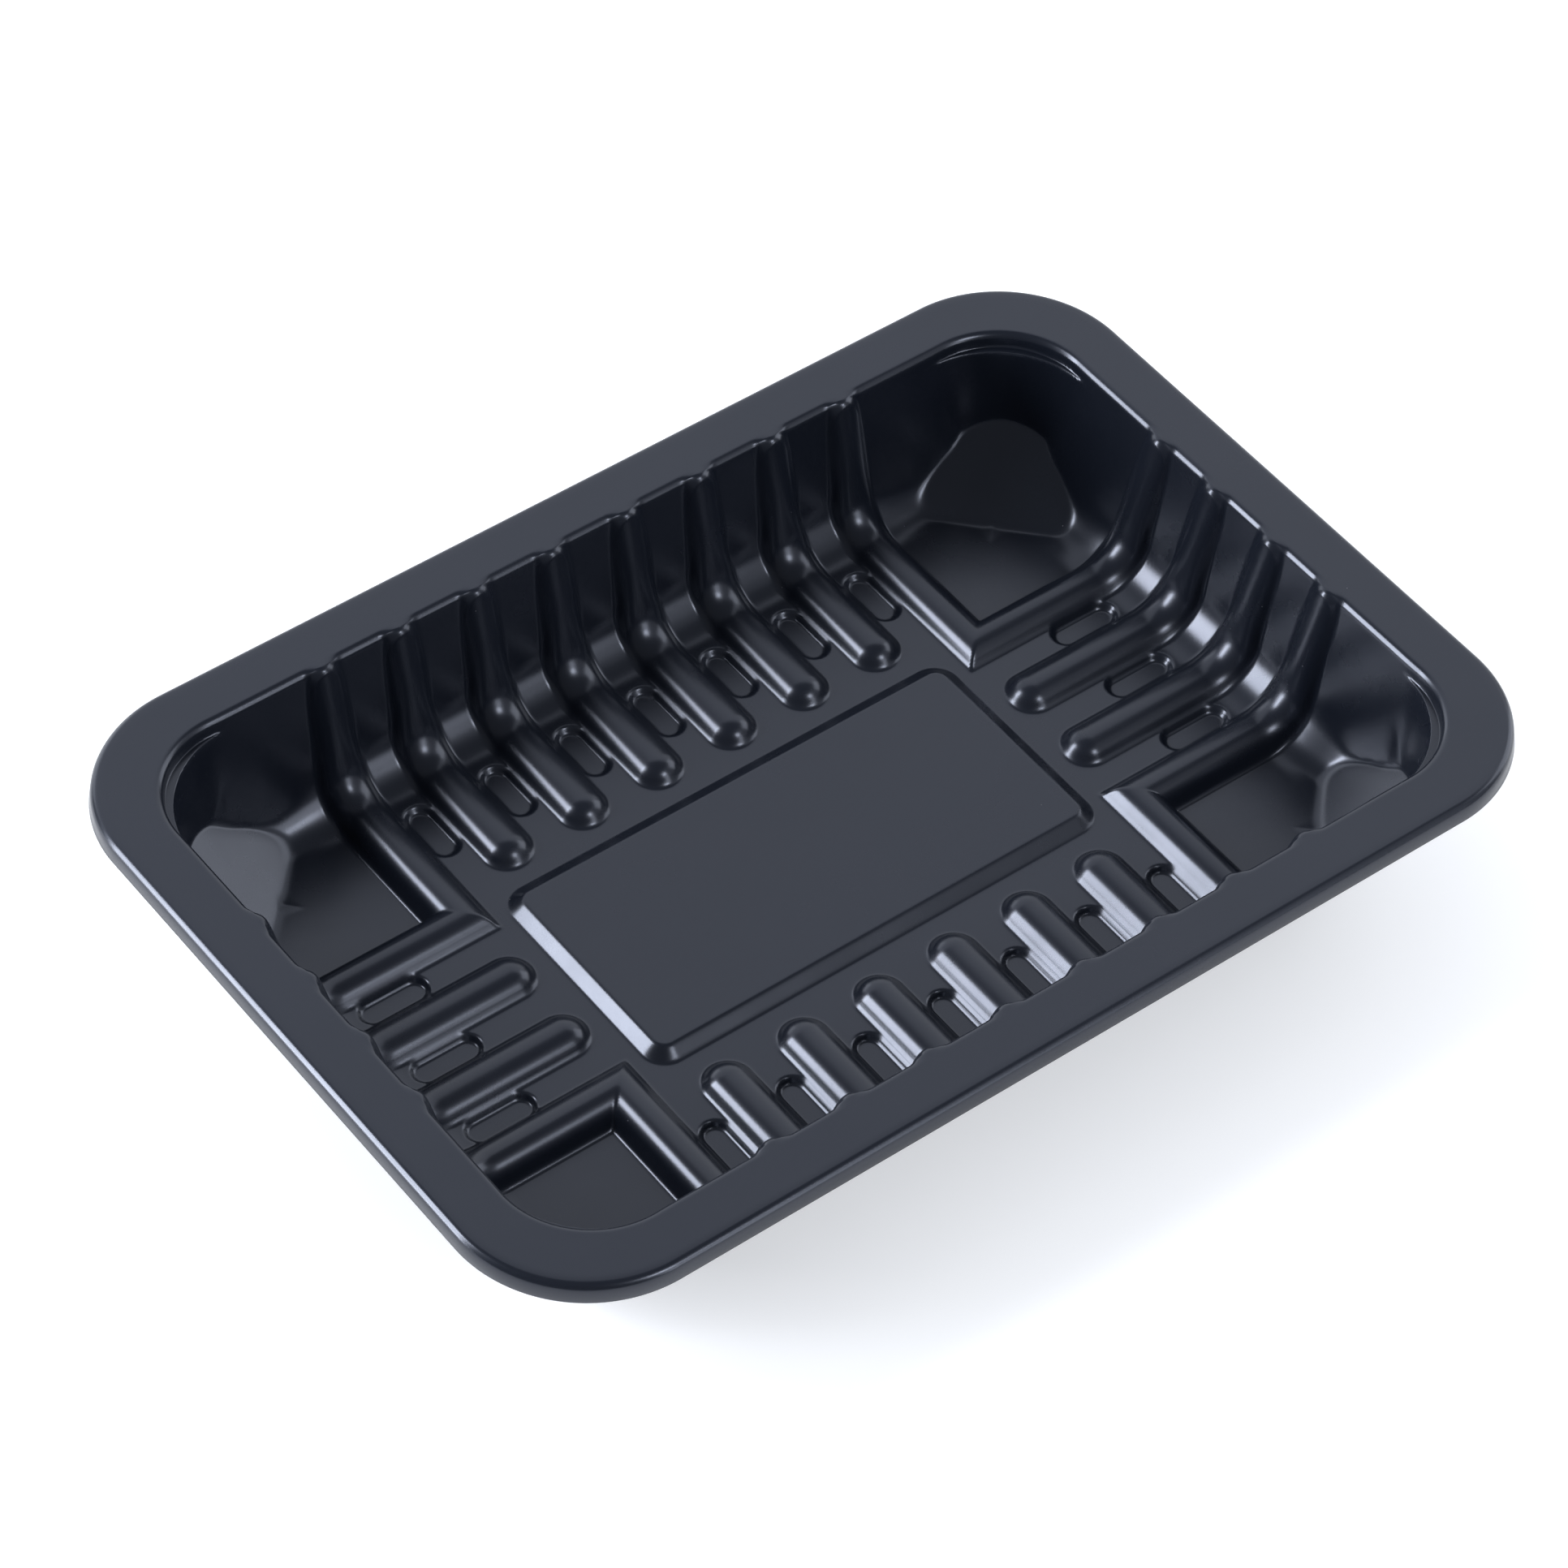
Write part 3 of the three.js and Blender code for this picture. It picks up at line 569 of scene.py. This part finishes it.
def black_plastic():
    nodes = Nodes("black_plastic")
    streaks = nodes.noise(STREAK_SIZE, 4.0)
    mottle = nodes.noise(MOTTLE_SIZE, 4.0)
    grain = nodes.noise(GRAIN_SIZE, 2.0)
    dust = nodes.specks(DUST_SPACING, DUST_RADIUS)
    base = nodes.colour(streaks, PLASTIC_DARK, PLASTIC_LIGHT)
    base = nodes.colour(nodes.ramp(grain, 0.5, 0.8, 0.0, GRAIN_SHARE), base, GRAIN_COLOUR)
    nodes.set(Base_Color=nodes.colour(dust, base, DUST_COLOUR))
    streaked = nodes.ramp(streaks, 0.3, 0.7, *ROUGHNESS)
    mottled = nodes.ramp(mottle, 0.3, 0.7, -MOTTLE_ROUGHNESS, MOTTLE_ROUGHNESS)
    worn = nodes.math("ADD", streaked, mottled)
    nodes.set(Roughness=nodes.math("ADD", worn, nodes.math("MULTIPLY", dust, DUST_ROUGHNESS)))
    nodes.shader.inputs["IOR"].default_value = 1.5
    nodes.shader.inputs["Specular Tint"].default_value = (*REFLECTION_TINT, 1)
    nodes.set(Normal=nodes.bump(nodes.noise(WAVE_SIZE, 1.0), 1.0, WAVE_HEIGHT))
    return nodes.material


def pale_floor():
    nodes = Nodes("pale_floor")
    tone = nodes.noise(0.25, 3.0)
    nodes.set(Base_Color=nodes.colour(tone, (0.86, 0.86, 0.865), (0.88, 0.88, 0.885)), Roughness=0.75)
    nodes.shader.inputs["Emission Color"].default_value = (1, 1, 1, 1)
    nodes.shader.inputs["Emission Strength"].default_value = 0.3
    return nodes.material


def add_floor():
    half = 4.0
    mesh = bpy.data.meshes.new("floor")
    corners = [(-half, -half, 0), (half, -half, 0), (half, half, 0), (-half, half, 0)]
    mesh.from_pydata(corners, [], [(0, 1, 2, 3)])
    made = bpy.data.objects.new("floor", mesh)
    bpy.context.scene.collection.objects.link(made)
    mesh.materials.append(pale_floor())


LIGHT_COLOUR = (0.9, 0.935, 1.0)
LIGHT_DISTANCE = 1.3


def direction(azimuth, elevation):
    """A unit direction: azimuth in degrees from +X towards +Y, elevation above the floor."""
    turn, rise = math.radians(azimuth), math.radians(elevation)
    return Vector((math.cos(turn) * math.cos(rise), math.sin(turn) * math.cos(rise), math.sin(rise)))


def add_softbox(name, azimuth, elevation, width, height, radiance, lean=0):
    """A rectangular light that faces the tray. Its place, its size and its lean are in degrees."""
    data = bpy.data.lights.new(name, "AREA")
    data.shape = "RECTANGLE"
    data.color = LIGHT_COLOUR
    data.size = 2 * LIGHT_DISTANCE * math.tan(math.radians(width / 2))
    data.size_y = 2 * LIGHT_DISTANCE * math.tan(math.radians(height / 2))
    data.energy = radiance * data.size * data.size_y * math.pi
    made = bpy.data.objects.new(name, data)
    made.location = direction(azimuth, elevation) * LIGHT_DISTANCE
    facing = made.location.to_track_quat("Z", "Y") @ Quaternion((0, 0, 1), math.radians(lean))
    made.rotation_euler = facing.to_euler()
    bpy.context.scene.collection.objects.link(made)


def add_lights():
    world = bpy.data.worlds.new("studio")
    world.use_nodes = True
    background = world.node_tree.nodes["Background"]
    background.inputs["Color"].default_value = (*LIGHT_COLOUR, 1)
    background.inputs["Strength"].default_value = 0.22
    bpy.context.scene.world = world
    add_softbox("panel_back", 62, 34, 90, 62, 1.15)
    add_softbox("panel_right", -8, 22, 30, 44, 3.0)
    add_softbox("panel_left", 96, 14, 30, 36, 1.3)
    add_softbox("panel_front", -56, 34, 60, 50, 0.4)
    add_softbox("softbox_left", 146, 24, 12, 48, 30.0, 15)
    add_softbox("softbox_front", -79, 42, 14, 14, 17.0)
    add_softbox("softbox_low", -74, 18, 16, 26, 4.5)


# The photograph's camera. Angles in degrees; the point it looks at lies on the flange's plane.
CAMERA_AZIMUTH = -38.91
CAMERA_ELEVATION = 48.20
CAMERA_ROLL = 2.435
CAMERA_DISTANCE = 956.2
CAMERA_TARGET = (-7.99, -3.76)
CAMERA_LENS = 133.8


def add_camera():
    turn, rise = math.radians(CAMERA_AZIMUTH), math.radians(CAMERA_ELEVATION)
    back = Vector((math.sin(turn) * math.cos(rise), -math.cos(turn) * math.cos(rise), math.sin(rise)))
    right = (-back).cross(Vector((0, 0, 1))).normalized()
    up = right.cross(-back)
    roll = math.radians(CAMERA_ROLL)
    side = right * math.cos(roll) + up * math.sin(roll)
    top = up * math.cos(roll) - right * math.sin(roll)
    place = Vector((*CAMERA_TARGET, FLANGE_LEVEL)) + back * CAMERA_DISTANCE
    data = bpy.data.cameras.new("camera")
    data.lens = CAMERA_LENS
    data.sensor_width = 36
    data.sensor_fit = "HORIZONTAL"
    data.clip_start = 0.05
    made = bpy.data.objects.new("camera", data)
    rotation = Matrix((side, top, back)).transposed().to_4x4()
    made.matrix_world = Matrix.Translation(place * MM) @ rotation
    bpy.context.scene.collection.objects.link(made)
    bpy.context.scene.camera = made


add_camera()
tray = mesh_object("plastic_tray", *whole_from_quarter(*tray_mesh()))
tray.data.materials.append(black_plastic())
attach(tray, "root")
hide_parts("tray")
add_floor()
add_lights()
bpy.context.scene.view_settings.view_transform = "Standard"
